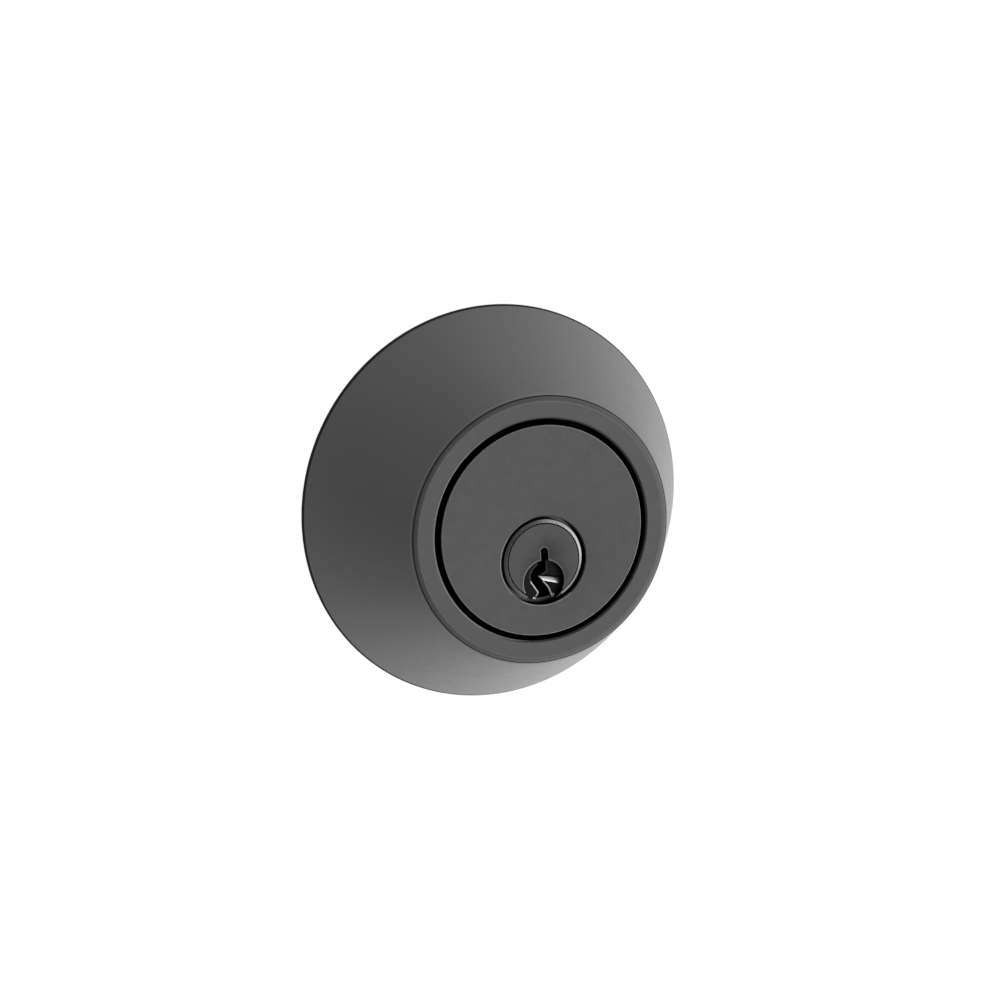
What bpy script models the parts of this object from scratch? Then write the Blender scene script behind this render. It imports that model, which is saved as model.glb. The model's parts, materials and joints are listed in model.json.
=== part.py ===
"""Single-cylinder deadbolt door lock: keyed outside trim, bolt unit and inside thumbturn, retracted.

Frame: origin at the centre of the cross bore, on the door's outside face. X points to the door's edge,
the way the bolt is thrown. Y points through the door to the inside. Z is up. Sizes below are in millimetres.
"""

import math

import bmesh
import bpy
from mathutils import Matrix, Vector

MM = 0.001
GAP = 0.3

# Door preparation
DOOR = 44.5
BACKSET = 60.0
MID_Y = DOOR / 2
EDGE_BORE_R = 12.7

# Main axes: the key plug, crank and thumbturn share one line, below the middle of the roses
HUB_Z = -6.35
ROSE_Z = HUB_Z + 5.1
HUB = (0.0, HUB_Z)
ROSE = (0.0, ROSE_Z)
SCREW_Z = 19.5

# Outside trim
ROSE_R = 32.5
FRONT_Y = -22.9
LIP_CORNER_R = 21.75
LIP_FILLET = 1.6
FACE_R = 17.25
GROOVE = 1.0
WEB_Y = (-16.0, -13.0)
WEB_R = 15.8
SEAT_R = 29.0

# Key cylinder
PLUG_HEAD_R = 6.86
PLUG_HEAD_BORE_R = 7.31
PLUG_R = 6.35
PLUG_HEAD_Y = FRONT_Y + 2.0
BODY_BACK_Y = 5.3
BIBLE_TOP_Z = 14.0
BIBLE_HALF = 5.5
PIN_COUNT = 5
PIN_FIRST_Y = -13.6
PIN_PITCH = 3.97
PIN_R = 1.45
KEY_PIN_LENGTHS = (5.2, 6.6, 5.9, 4.9, 6.3)
DRIVER_LENGTH = 4.2
COVER_Z = (12.9, BIBLE_TOP_Z)
POCKET_R = 3.5
POCKET_X = -0.2
POCKET_DROP = 3.45
POCKET_DEPTH = 1.5

# Tailpiece
BLADE_HALF_Z = 2.4
BLADE_HALF_X = 0.9
BLADE_END_Y = 52.0

# Bolt drive: the crank swings SWING degrees each side of upright
THROW = 25.4
SWING = 45.0
CRANK_L = THROW / 2 / math.sin(math.radians(SWING))
CRANK_PIN_R = 2.0
SLIDE_SLOT_HALF = 2.8

# Bolt unit
BOLT_HALF_Y = 7.2
BOLT_R = 11.1
BOLT_BACK_X = 24.0
TUBE_R = 12.45
TUBE_WALL = 1.0
TUBE_BACK_X = 22.0
CASE_X = (-23.0, 21.7)
CASE_R = 12.4
CASE_HALF_Y = 6.5
CASE_WALL = 1.2
FACEPLATE_T = 1.8
FACEPLATE = (25.4, 57.2)
FACEPLATE_CORNER = 6.35
FACE_SCREW_Z = 20.6

# Inside trim
INNER_ROSE_T = 9.0
INNER_PLATE_R = 29.0
SPINDLE_R = 7.5
TURN_HALF_Z = 16.5
TURN_HALF_X = 4.6
TURN_REACH = 19.0


def clear_scene():
    for item in list(bpy.data.objects):
        bpy.data.objects.remove(item)


# ---------------------------------------------------------------- outlines

def arc(centre, radius, start, end, steps):
    """Points along an arc, angles in degrees."""
    points = []
    for i in range(steps + 1):
        angle = math.radians(start + (end - start) * i / steps)
        points.append((centre[0] + radius * math.cos(angle), centre[1] + radius * math.sin(angle)))
    return points


def rounded(corners, steps=4):
    """A closed outline of (a, b, radius) corners, each rounded by an arc. A small radius takes one step."""
    points = []
    for i, (a, b, radius) in enumerate(corners):
        here = Vector((a, b))
        if radius == 0:
            points.append((a, b))
            continue
        before = (Vector(corners[i - 1][:2]) - here).normalized()
        after = (Vector(corners[(i + 1) % len(corners)][:2]) - here).normalized()
        half = before.angle(after) / 2
        centre = here + (before + after).normalized() * radius / math.sin(half)
        start = here + before * radius / math.tan(half) - centre
        end = here + after * radius / math.tan(half) - centre
        turn = start.angle_signed(end)
        count = steps if radius >= 1.0 else 1
        for k in range(count + 1):
            point = centre + Matrix.Rotation(-turn * k / count, 2) @ start
            points.append((point.x, point.y))
    return points


def rectangle(half_a, half_b, radius=0.0, centre=(0.0, 0.0), steps=4):
    a, b = centre
    signs = ((-1, -1), (1, -1), (1, 1), (-1, 1))
    return rounded([(a + s * half_a, b + t * half_b, radius) for s, t in signs], steps)


def flat_sided(centre, radius, half_width, steps=10):
    """A circle with a flat on its left and on its right."""
    angle = math.degrees(math.acos(half_width / radius))
    top = arc(centre, radius, angle, 180 - angle, steps)
    return top + arc(centre, radius, 180 + angle, 360 - angle, steps)


# ---------------------------------------------------------------- solids

def place(axis, along, a, b):
    """World point in millimetres. The outline's (a, b) is (y, z), (x, z) or (x, y)."""
    return {"X": (along, a, b), "Y": (a, along, b), "Z": (a, b, along)}[axis]


def finish_mesh(bm):
    bmesh.ops.recalc_face_normals(bm, faces=bm.faces)
    bmesh.ops.scale(bm, vec=(MM, MM, MM), verts=bm.verts)
    mesh = bpy.data.meshes.new("shape")
    bm.to_mesh(mesh)
    bm.free()
    shape = bpy.data.objects.new("shape", mesh)
    bpy.context.scene.collection.objects.link(shape)
    return shape


def turned(axis, centre, profile, steps=48):
    """A profile of (along, radius) points, turned about an axis. Off the axis it is closed on itself."""
    bm = bmesh.new()
    rings = []
    for along, radius in profile:
        if radius < 1e-6:
            rings.append([bm.verts.new(place(axis, along, *centre))])
            continue
        ring = []
        for i in range(steps):
            angle = 2 * math.pi * i / steps
            a = centre[0] + radius * math.cos(angle)
            b = centre[1] + radius * math.sin(angle)
            ring.append(bm.verts.new(place(axis, along, a, b)))
        rings.append(ring)
    open_profile = len(rings[0]) == 1
    pairs = list(zip(rings, rings[1:] if open_profile else rings[1:] + rings[:1]))
    for first, second in pairs:
        for i in range(steps):
            j = (i + 1) % steps
            corners = [first[i % len(first)], first[j % len(first)]]
            corners += [second[j % len(second)], second[i % len(second)]]
            bm.faces.new(list(dict.fromkeys(corners)))
    return finish_mesh(bm)


def rod(axis, centre, start, end, radius, steps=24, chamfer=0.0):
    profile = [(start, 0.0), (start, radius - chamfer), (start + chamfer, radius)]
    profile += [(end - chamfer, radius), (end, radius - chamfer), (end, 0.0)]
    if chamfer == 0:
        profile = [(start, 0.0), (start, radius), (end, radius), (end, 0.0)]
    return turned(axis, centre, profile, steps)


def extruded(axis, outline, start, end):
    bm = bmesh.new()
    low = [bm.verts.new(place(axis, start, a, b)) for a, b in outline]
    high = [bm.verts.new(place(axis, end, a, b)) for a, b in outline]
    bm.faces.new(low)
    bm.faces.new(high)
    for i in range(len(low)):
        j = (i + 1) % len(low)
        bm.faces.new((low[i], low[j], high[j], high[i]))
    return finish_mesh(bm)


def block(low, high):
    outline = [(low[0], low[2]), (high[0], low[2]), (high[0], high[2]), (low[0], high[2])]
    return extruded("Y", outline, low[1], high[1])


def bake(shape):
    graph = bpy.context.evaluated_depsgraph_get()
    mesh = bpy.data.meshes.new_from_object(shape.evaluated_get(graph))
    shape.modifiers.clear()
    shape.data = mesh


def combined(shape, others, operation):
    for other in others:
        modifier = shape.modifiers.new(operation, "BOOLEAN")
        modifier.operation = operation
        modifier.solver = "EXACT"
        modifier.object = other
    bake(shape)
    for other in others:
        bpy.data.objects.remove(other)
    return shape


def cut(shape, *others):
    return combined(shape, others, "DIFFERENCE")


def joined(shape, *others):
    return combined(shape, others, "UNION")


def kept(shape, *others):
    return combined(shape, others, "INTERSECT")


def bevelled(shape, width, segments=2, angle=40.0):
    modifier = shape.modifiers.new("Bevel", "BEVEL")
    modifier.width = width * MM
    modifier.segments = segments
    modifier.limit_method = "ANGLE"
    modifier.angle_limit = math.radians(angle)
    bake(shape)
    return shape


# ---------------------------------------------------------------- finishes

def finish(name, colour, roughness, metallic=1.0):
    material = bpy.data.materials.new(name)
    material.use_nodes = True
    shader = material.node_tree.nodes["Principled BSDF"]
    shader.inputs["Base Color"].default_value = (*colour, 1.0)
    shader.inputs["Roughness"].default_value = roughness
    shader.inputs["Metallic"].default_value = metallic
    return material


FINISHES = {
    "trim": ((0.085, 0.085, 0.087), 0.42),
    "plug": ((0.095, 0.095, 0.097), 0.38),
    "brass": ((0.62, 0.45, 0.19), 0.34),
    "steel": ((0.42, 0.42, 0.43), 0.36),
    "zinc": ((0.50, 0.51, 0.53), 0.42),
    "spring": ((0.33, 0.33, 0.34), 0.30),
}


def node(name, shape, look, pivot=(0.0, 0.0, 0.0)):
    """Names the finished sub-part, gives it its own material and puts its origin at pivot."""
    shape.name = name
    shape.data.name = name
    shape.data.materials.clear()
    colour, roughness = FINISHES[look]
    shape.data.materials.append(finish(name + "_" + look, colour, roughness))
    point = Vector(pivot) * MM
    shape.data.transform(Matrix.Translation(-point))
    shape.location = point
    shape.data.shade_smooth()
    shape.data.set_sharp_from_angle(angle=math.radians(30))
    return shape


# ---------------------------------------------------------------- outside trim

def outer_rose():
    """Conical collar: round lip in front, web that the cylinder pulls on, seat ring on the door."""
    bore = FACE_R + GROOVE
    corners = [
        (0.0, ROSE_R, 0.3), (-0.5, ROSE_R, 0.5), (FRONT_Y, LIP_CORNER_R, LIP_FILLET), (FRONT_Y, bore, 0.25),
        (WEB_Y[0], bore, 0.0), (WEB_Y[0], WEB_R, 0.0), (WEB_Y[1], WEB_R, 0.0), (WEB_Y[1], 22.4, 0.0),
        (-1.0, SEAT_R, 0.0), (0.0, SEAT_R, 0.0),
    ]
    node("outer_rose", turned("Y", ROSE, rounded(corners, 5), 80), "trim")


def bible_outline(grow=0.0):
    """The cylinder's rear section: a round barrel for the plug with the pin chambers standing on it."""
    radius = 8.8 + grow
    half = BIBLE_HALF + grow
    angle = math.degrees(math.asin(half / radius))
    barrel = arc(HUB, radius, 90 + angle, 450 - angle, 28)
    return barrel + [(half, BIBLE_TOP_Z + grow), (-half, BIBLE_TOP_Z + grow)]


def pin_positions():
    return [PIN_FIRST_Y + PIN_PITCH * i for i in range(PIN_COUNT)]


def cylinder_body():
    """Face, collar and drum turned in one piece, with the plug's bore, pin chambers and screw holes."""
    collar = FACE_R + GROOVE - GAP
    profile = rounded([
        (WEB_Y[1] + 5.0, 0.0, 0.0), (FRONT_Y, 0.0, 0.0), (FRONT_Y, FACE_R, 0.2), (FRONT_Y + 3.6, FACE_R, 0.0),
        (FRONT_Y + 3.6, collar, 0.0), (WEB_Y[0] - GAP, collar, 0.0), (WEB_Y[0] - GAP, WEB_R - GAP, 0.0),
        (WEB_Y[1] + 5.0, WEB_R - GAP, 0.0),
    ], 2)
    shape = turned("Y", ROSE, profile[1:] + profile[:1], 72)
    joined(shape, extruded("Y", bible_outline(), WEB_Y[1] + 4.0, BODY_BACK_Y))
    flat = block((-20.0, WEB_Y[0] - GAP, BIBLE_TOP_Z), (20.0, 10.0, 30.0))
    cover_groove = block((-2.3 - GAP, WEB_Y[0] + 0.1, COVER_Z[0] - GAP), (2.3 + GAP, 4.9, 30.0))
    bore = turned("Y", HUB, [
        (FRONT_Y - 1.0, 0.0), (FRONT_Y - 1.0, PLUG_HEAD_BORE_R), (PLUG_HEAD_Y + GAP, PLUG_HEAD_BORE_R),
        (PLUG_HEAD_Y + GAP, PLUG_R + GAP), (BODY_BACK_Y + 1.0, PLUG_R + GAP), (BODY_BACK_Y + 1.0, 0.0),
    ], 64)
    cut(shape, flat, cover_groove, bore)
    cutters = [rod("Z", (0.0, y), -2.0, 20.0, PIN_R + GAP, 20) for y in pin_positions()]
    cutters += [rod("Z", (x, -18.0), 1.5, 20.0, 0.9 + GAP, 16) for x in (-2.0, 2.0)]
    cutters += [rod("Y", (x, ROSE_Z), -15.0, -5.0, 1.5 + GAP, 16) for x in (-12.3, 12.3)]
    cut(shape, *cutters)
    node("cylinder_body", shape, "trim")


def keyway_outline():
    """Warded keyway as (x, z) around the plug's axis: a slot that jogs left, then leans back to the right."""
    return [
        (0.28, 2.15), (-0.3, 1.8), (-0.3, -0.85), (-1.45, -1.7), (-1.9, -2.6), (-1.85, -3.45), (-0.66, -5.55),
        (-1.7, -6.9), (-1.7, -8.0), (1.6, -8.0), (1.5, -6.9), (1.25, -5.9), (0.9, -4.95), (0.1, -3.8),
        (-0.7, -2.65), (0.35, -2.45), (0.9, -2.1), (0.9, 1.8),
    ]


def guide_groove():
    """Cutter for the V-groove across the key guide's floor, wider to the right. Its lower wall slopes."""
    floor = FRONT_Y + POCKET_DEPTH
    bm = bmesh.new()
    for x, top, bottom, depth in ((-1.0, -2.4, -3.2, 0.4), (3.15, -3.45, -4.7, 0.6)):
        for y, z in ((floor - 0.5, top), (floor + depth, top), (floor, bottom), (floor - 0.5, bottom)):
            bm.verts.new((x, y, z + HUB_Z))
    bmesh.ops.convex_hull(bm, input=list(bm.verts))
    return finish_mesh(bm)


def key_plug():
    """Plug with a chamfered head, warded keyway, round key guide in the face and five pin holes."""
    chamfer = 0.45
    shape = turned("Y", HUB, [
        (FRONT_Y, 0.0), (FRONT_Y, PLUG_HEAD_R - chamfer), (FRONT_Y + chamfer, PLUG_HEAD_R),
        (PLUG_HEAD_Y, PLUG_HEAD_R), (PLUG_HEAD_Y, PLUG_R), (5.6 - GAP, PLUG_R), (5.6 - GAP, 5.0),
        (6.6 + GAP, 5.0), (6.6 + GAP, 5.6), (9.6, 5.6), (9.6, 0.0),
    ], 64)
    pocket = rod("Y", (POCKET_X, HUB_Z - POCKET_DROP), FRONT_Y - 1.0, FRONT_Y + POCKET_DEPTH, POCKET_R, 40)
    keyway = extruded("Y", [(x, z + HUB_Z) for x, z in keyway_outline()], FRONT_Y - 1.0, 4.6)
    holes = [rod("Z", (0.0, y), -9.6, 3.0, PIN_R + GAP, 20) for y in pin_positions()]
    cut(shape, pocket, keyway, guide_groove(), *holes)
    node("key_plug", shape, "plug", (0.0, FRONT_Y, HUB_Z))


def plug_rear():
    """Clip in the plug's groove, screw-on cap, and the tailpiece that the cap holds against the plug."""
    pivot = (0.0, 8.0, HUB_Z)
    outer = arc(HUB, 7.7, 125, 415, 28)
    inner = arc(HUB, 5.3, 125, 415, 28)
    node("plug_retaining_clip", extruded("Y", outer + inner[::-1], 5.6, 6.6), "steel", pivot)
    cap = turned("Y", HUB, [
        (7.2, 5.9), (7.2, 7.3), (11.7, 7.3), (12.0, 7.0), (12.0, 2.9), (11.0, 2.9), (11.0, 5.9),
    ], 40)
    node("plug_cap", cap, "steel", pivot)
    blade = extruded("Y", rectangle(BLADE_HALF_X, BLADE_HALF_Z, 0.3, HUB, 2), 10.2, BLADE_END_Y)
    joined(blade, rod("Y", HUB, 9.9, 10.7, 5.5, 32))
    node("tailpiece", blade, "steel", pivot)


def pins_and_springs():
    """Five pin stacks at the shear line, as they stand with the right key in the plug."""
    for i, y in enumerate(pin_positions()):
        tip = -KEY_PIN_LENGTHS[i]
        key_pin = turned("Z", (0.0, y), [
            (tip, 0.0), (tip, 0.4), (tip + 0.85, PIN_R), (-0.35, PIN_R), (-0.1, PIN_R - 0.3), (-0.1, 0.0),
        ], 18)
        node(f"key_pin_{i + 1}", key_pin, "brass", (0.0, y, HUB_Z))
        bottom = 0.25
        top = bottom + DRIVER_LENGTH
        driver = rod("Z", (0.0, y), bottom, top, PIN_R, 18, 0.25)
        node(f"driver_pin_{i + 1}", driver, "brass", (0.0, y, bottom))
        spring = helix((0.0, y), top + GAP, COVER_Z[0] - GAP, 1.12, 0.21, 5)
        node(f"driver_spring_{i + 1}", spring, "spring", (0.0, y, COVER_Z[0] - GAP))


def helix(centre, bottom, top, radius, wire, turns, per_turn=8, sides=4):
    """A compression spring of round wire, with its ends cut square to the wire."""
    bm = bmesh.new()
    count = turns * per_turn
    low, high = bottom + wire, top - wire
    rings = []
    for i in range(count + 1):
        angle = 2 * math.pi * i / per_turn
        out = Vector((math.cos(angle), math.sin(angle), 0.0))
        middle = Vector((*centre, low + (high - low) * i / count)) + out * radius
        ring = []
        for k in range(sides):
            round_wire = 2 * math.pi * k / sides
            offset = out * math.cos(round_wire) + Vector((0, 0, 1)) * math.sin(round_wire)
            ring.append(bm.verts.new(middle + offset * wire))
        rings.append(ring)
    for first, second in zip(rings, rings[1:]):
        for k in range(sides):
            j = (k + 1) % sides
            bm.faces.new((first[k], first[j], second[j], second[k]))
    bm.faces.new(rings[0])
    bm.faces.new(rings[-1])
    return finish_mesh(bm)


def cylinder_fittings():
    cover = block((-2.3, WEB_Y[0] + 0.4, COVER_Z[0]), (2.3, 4.6, COVER_Z[1]))
    node("pin_chamber_cover", cover, "brass")
    for i, x in enumerate((-2.0, 2.0)):
        node(f"anti_drill_pin_{i + 1}", rod("Z", (x, -18.0), 2.0, 14.5, 0.9, 14, 0.2), "steel")


def screw_recess(axis, centre, top, depth, reach, width):
    """Two crossed slots, as cutters, for a cross-head driver. depth is signed along the axis."""
    ends = sorted((top - depth * 0.5, top + depth))
    shapes = []
    for half_a, half_b in ((reach, width), (width, reach)):
        shapes.append(extruded(axis, rectangle(half_a, half_b, 0.0, centre), *ends))
    return shapes


def cylinder_mounting_plate():
    """Steel plate on the drum's back. The two long screws pull it, and with it the cylinder and rose."""
    start, end = -7.7, -5.2
    shape = extruded("Y", flat_sided(ROSE, 25.0, 15.5), start, end)
    joined(shape, *[rod("Y", (0.0, z), start + 0.5, -0.6, 3.9, 28) for z in (-SCREW_Z, SCREW_Z)])
    holes = [rod("Y", (0.0, z), start - 1.0, 1.0, 2.4 + GAP, 20) for z in (-SCREW_Z, SCREW_Z)]
    holes += [rod("Y", (x, ROSE_Z), start - 1.0, end + 1.0, 1.5 + GAP, 16) for x in (-12.3, 12.3)]
    cut(shape, extruded("Y", bible_outline(0.4), start - 1.0, end + 1.0), *holes)
    node("cylinder_mounting_plate", shape, "zinc")
    for i, x in enumerate((-12.3, 12.3)):
        screw = turned("Y", (x, ROSE_Z), [
            (-13.6, 0.0), (-13.6, 1.0), (-13.0, 1.5), (end + GAP, 1.5), (end + GAP, 2.8), (end + 1.6, 2.8),
            (end + 2.0, 2.3), (end + 2.0, 0.0),
        ], 24)
        cut(screw, *screw_recess("Y", (x, ROSE_Z), end + 2.0, -1.1, 1.6, 0.35))
        node(f"cylinder_plate_screw_{i + 1}", screw, "zinc")


# ---------------------------------------------------------------- bolt unit

def bolt_y(half):
    return MID_Y - half, MID_Y + half


def bolt():
    """Round-topped bolt with a slot for the slide's tongue and a bore for the hardened pin."""
    shape = extruded("X", flat_sided((MID_Y, 0.0), BOLT_R, BOLT_HALF_Y), BOLT_BACK_X, BACKSET)
    bevelled(shape, 0.9, 2, 60)
    low, high = bolt_y(2.0 + GAP)
    slot = block((BOLT_BACK_X - 1.0, low, -4.0 - GAP), (32.3, high, 4.0 + GAP))
    bore = rod("X", (MID_Y, 0.0), 32.0, 57.0, 2.5 + GAP, 24)
    pin_hole = rod("Y", (28.0, 0.0), MID_Y - 9.0, MID_Y + 9.0, 1.2 + GAP, 16)
    cut(shape, slot, bore, pin_hole)
    pivot = (BACKSET, MID_Y, 0.0)
    node("bolt", shape, "zinc", pivot)
    node("anti_saw_pin", rod("X", (MID_Y, 0.0), 33.0, 56.5, 2.5, 24, 0.4), "steel", pivot)
    node("bolt_link_pin", rod("Y", (28.0, 0.0), *bolt_y(6.9), 1.2, 16, 0.2), "steel", pivot)


def bolt_slide():
    """Two slotted cheeks that the crank's pin drives, on a block whose tongue is pinned into the bolt."""
    rest_x = -THROW / 2
    side = rounded([
        (rest_x - 5.0, 0.3, 0.8), (9.0, 0.3, 0.0), (9.0, -4.0, 0.8), (22.0, -4.0, 0.0), (31.9, -4.0, 0.6),
        (31.9, 4.0, 0.6), (22.0, 4.0, 0.0), (22.0, 5.0, 0.8), (rest_x + 7.0, 5.0, 1.5),
        (rest_x + 4.8, 11.6, 0.8), (rest_x - 5.0, 11.6, 0.8),
    ], 3)
    shape = extruded("Y", side, *bolt_y(3.8))
    drop = HUB_Z + CRANK_L * math.cos(math.radians(SWING))
    slot = rounded([
        (rest_x - SLIDE_SLOT_HALF, drop - 2.8, 1.8), (rest_x + SLIDE_SLOT_HALF, drop - 2.8, 1.8),
        (rest_x + SLIDE_SLOT_HALF, 20.0, 0.0), (rest_x - SLIDE_SLOT_HALF, 20.0, 0.0),
    ], 4)
    low, high = bolt_y(2.3)
    between = block((-30.0, low, -10.0), (9.6, high, 20.0))
    outer_sides = []
    for y0, y1 in ((MID_Y - 9.0, MID_Y - 2.0), (MID_Y + 2.0, MID_Y + 9.0)):
        outer_sides.append(block((22.5, y0, -10.0), (40.0, y1, 10.0)))
    pin_hole = rod("Y", (28.0, 0.0), *bolt_y(9.0), 1.2 + GAP, 16)
    cut(shape, extruded("Y", slot, *bolt_y(9.0)), between, *outer_sides, pin_hole)
    node("bolt_slide", shape, "steel", (BACKSET, MID_Y, 0.0))


def bolt_crank():
    """Hub with a slot for the tailpiece, and an arm whose cross pin rides in the slide's slots."""
    angle = math.radians(90 + SWING)
    tip = (HUB[0] + CRANK_L * math.cos(angle), HUB[1] + CRANK_L * math.sin(angle))
    along = Vector((math.cos(angle), math.sin(angle)))
    across = Vector((-along.y, along.x))
    outline = []
    for reach, half in ((0.0, 4.2), (CRANK_L, 2.2), (CRANK_L + 2.0, 1.4)):
        outline.append((reach, half))
    outline += [(reach, -half) for reach, half in reversed(outline)]
    start = Vector(HUB)
    arm = extruded("Y", [tuple(start + along * r + across * h) for r, h in outline], *bolt_y(1.8))
    joined(arm, rod("Y", tip, *bolt_y(3.8), CRANK_PIN_R, 24))
    kept(arm, rod("Y", HUB, *bolt_y(9.0), CRANK_L + 0.55, 72))
    joined(arm, rod("Y", HUB, *bolt_y(2.0), 4.4, 36), rod("Y", HUB, *bolt_y(6.4), 3.9, 32))
    slot = rectangle(BLADE_HALF_X + GAP, BLADE_HALF_Z + GAP, 0.3, HUB, 2)
    cut(arm, extruded("Y", slot, *bolt_y(9.0)))
    node("bolt_crank", arm, "zinc", (0.0, MID_Y, HUB_Z))


def case_section(side):
    """One half of the case as (y, z): a flat cheek that curls under the works."""
    inner = CASE_HALF_Y - CASE_WALL
    seam = 0.15
    outside = arc((0.0, 0.0), CASE_R, -90 + math.degrees(math.asin(seam / CASE_R)),
                  -math.degrees(math.acos(CASE_HALF_Y / CASE_R)), 6)
    inside_r = CASE_R - CASE_WALL
    inside = arc((0.0, 0.0), inside_r, -math.degrees(math.acos(inner / inside_r)),
                 -90 + math.degrees(math.asin(seam / inside_r)), 6)
    points = outside + [(CASE_HALF_Y, 10.4), (inner, 10.4)] + inside
    return [(MID_Y + side * y, z) for y, z in points]


def case_rivet_places():
    return ((-15.0, -7.6), (15.0, -7.6), (-20.4, 6.6))


def bolt_case():
    for name, side in (("case_half_outer", -1), ("case_half_inner", 1)):
        shape = extruded("X", case_section(side), *CASE_X)
        hole = rod("Y", HUB, MID_Y, MID_Y + side * 9.0, 3.9 + GAP, 32)
        rivets = [rod("Y", place, MID_Y, MID_Y + side * 9.0, 1.2 + GAP, 16) for place in case_rivet_places()]
        cut(shape, hole, *rivets)
        node(name, shape, "zinc")
    inner = CASE_HALF_Y - CASE_WALL - GAP
    for i, place_xz in enumerate(case_rivet_places()):
        half = [(inner, 1.8), (inner, 1.2), (CASE_HALF_Y + GAP, 1.2), (CASE_HALF_Y + GAP, 2.1),
                (CASE_HALF_Y + 0.8, 2.0), (CASE_HALF_Y + 1.1, 1.2), (CASE_HALF_Y + 1.1, 0.0)]
        profile = [(MID_Y - y, r) for y, r in reversed(half)] + [(MID_Y + y, r) for y, r in half]
        node(f"case_rivet_{i + 1}", turned("Y", place_xz, profile, 14), "steel")


def bolt_guide_tube():
    """Drawn tube that guides the bolt, with a flange behind the faceplate."""
    flange = (BACKSET - FACEPLATE_T - GAP - 1.2, BACKSET - FACEPLATE_T - GAP)
    tube = rod("X", (MID_Y, 0.0), TUBE_BACK_X, flange[1] - 0.4, TUBE_R, 64)
    plate = rectangle(FACEPLATE[0] / 2 - 0.2, FACEPLATE[1] / 2 - 0.2, FACEPLATE_CORNER - 0.2, (MID_Y, 0.0), 6)
    joined(tube, extruded("X", plate, *flange))
    bore = rod("X", (MID_Y, 0.0), TUBE_BACK_X - 1.0, flange[1] + 1.0, TUBE_R - TUBE_WALL, 64)
    holes = [rod("X", (MID_Y, z), 50.0, 60.0, 2.9, 20) for z in (-FACE_SCREW_Z, FACE_SCREW_Z)]
    cut(tube, bore, *holes)
    node("bolt_guide_tube", tube, "zinc")


def faceplate():
    outline = rectangle(FACEPLATE[0] / 2, FACEPLATE[1] / 2, FACEPLATE_CORNER, (MID_Y, 0.0), 6)
    shape = extruded("X", outline, BACKSET - FACEPLATE_T, BACKSET)
    opening = extruded("X", flat_sided((MID_Y, 0.0), BOLT_R + 0.35, BOLT_HALF_Y + 0.35), 50.0, 70.0)
    sinks = []
    for z in (-FACE_SCREW_Z, FACE_SCREW_Z):
        sinks.append(turned("X", (MID_Y, z), [(50.0, 0.0), (50.0, 2.4), (58.3, 2.4), (60.0, 4.1), (61.0, 4.1),
                                              (61.0, 0.0)], 28))
    cut(shape, opening, *sinks)
    node("faceplate", shape, "trim")
    for i, z in enumerate((-FACE_SCREW_Z, FACE_SCREW_Z)):
        screw = turned("X", (MID_Y, z), [
            (39.0, 0.0), (42.5, 1.75), (58.0, 1.75), (59.85, 3.75), (60.0, 3.75), (60.0, 0.0),
        ], 24)
        cut(screw, *screw_recess("X", (MID_Y, z), 60.0, -1.4, 2.0, 0.4))
        node(f"faceplate_screw_{i + 1}", screw, "trim")


# ---------------------------------------------------------------- inside trim

def inner_mounting_plate():
    shape = rod("Y", ROSE, DOOR, DOOR + 1.5, INNER_PLATE_R, 72)
    holes = [rod("Y", (0.0, z), DOOR - 1.0, DOOR + 3.0, 2.4 + GAP, 20) for z in (-SCREW_Z, SCREW_Z)]
    cut(shape, rod("Y", HUB, DOOR - 1.0, DOOR + 3.0, SPINDLE_R + 0.8, 40), *holes)
    node("inner_mounting_plate", shape, "zinc")
    for i, z in enumerate((-SCREW_Z, SCREW_Z)):
        head = DOOR + 1.5 + GAP
        screw = turned("Y", (0.0, z), [
            (-7.5, 0.0), (-7.5, 1.7), (-6.8, 2.4), (head, 2.4), (head, 4.2), (head + 1.6, 4.0),
            (head + 2.4, 2.8), (head + 2.6, 1.4), (head + 2.6, 0.0),
        ], 24)
        cut(screw, *screw_recess("Y", (0.0, z), head + 2.6, -1.6, 2.1, 0.4))
        node(f"mounting_screw_{i + 1}", screw, "zinc")


def inner_rose():
    """Shallow dished cover over the inside plate, with the thumbturn's bearing in it."""
    front = DOOR + INNER_ROSE_T
    corners = [
        (DOOR, ROSE_R, 0.3), (DOOR + 2.0, ROSE_R, 0.8), (front, ROSE_R - 5.2, 2.2), (front, 0.0, 0.0),
        (DOOR + 6.4, 0.0, 0.0), (DOOR + 6.4, ROSE_R - 7.0, 1.2), (DOOR + 1.2, INNER_PLATE_R + 0.4, 0.0),
        (DOOR, INNER_PLATE_R + 0.4, 0.0),
    ]
    profile = rounded(corners, 4)
    start = profile.index((DOOR + 6.4, 0.0))
    shape = turned("Y", ROSE, profile[start:] + profile[:start], 80)
    hole = rod("Y", HUB, DOOR, front + 2.0, SPINDLE_R + GAP, 48)
    set_hole = rod("Z", (0.0, DOOR + 1.9), -60.0, ROSE_Z - INNER_PLATE_R + 1.0, 1.1 + GAP, 16)
    cut(shape, hole, set_hole)
    node("inner_rose", shape, "trim")
    low, high = ROSE_Z - ROSE_R + 0.3, ROSE_Z - INNER_PLATE_R - GAP
    screw = rod("Z", (0.0, DOOR + 1.9), low, high, 1.1, 16, 0.2)
    cut(screw, *screw_recess("Z", (0.0, DOOR + 1.9), low, 0.8, 0.6, 0.25))
    node("inner_rose_set_screw", screw, "zinc")


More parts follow.
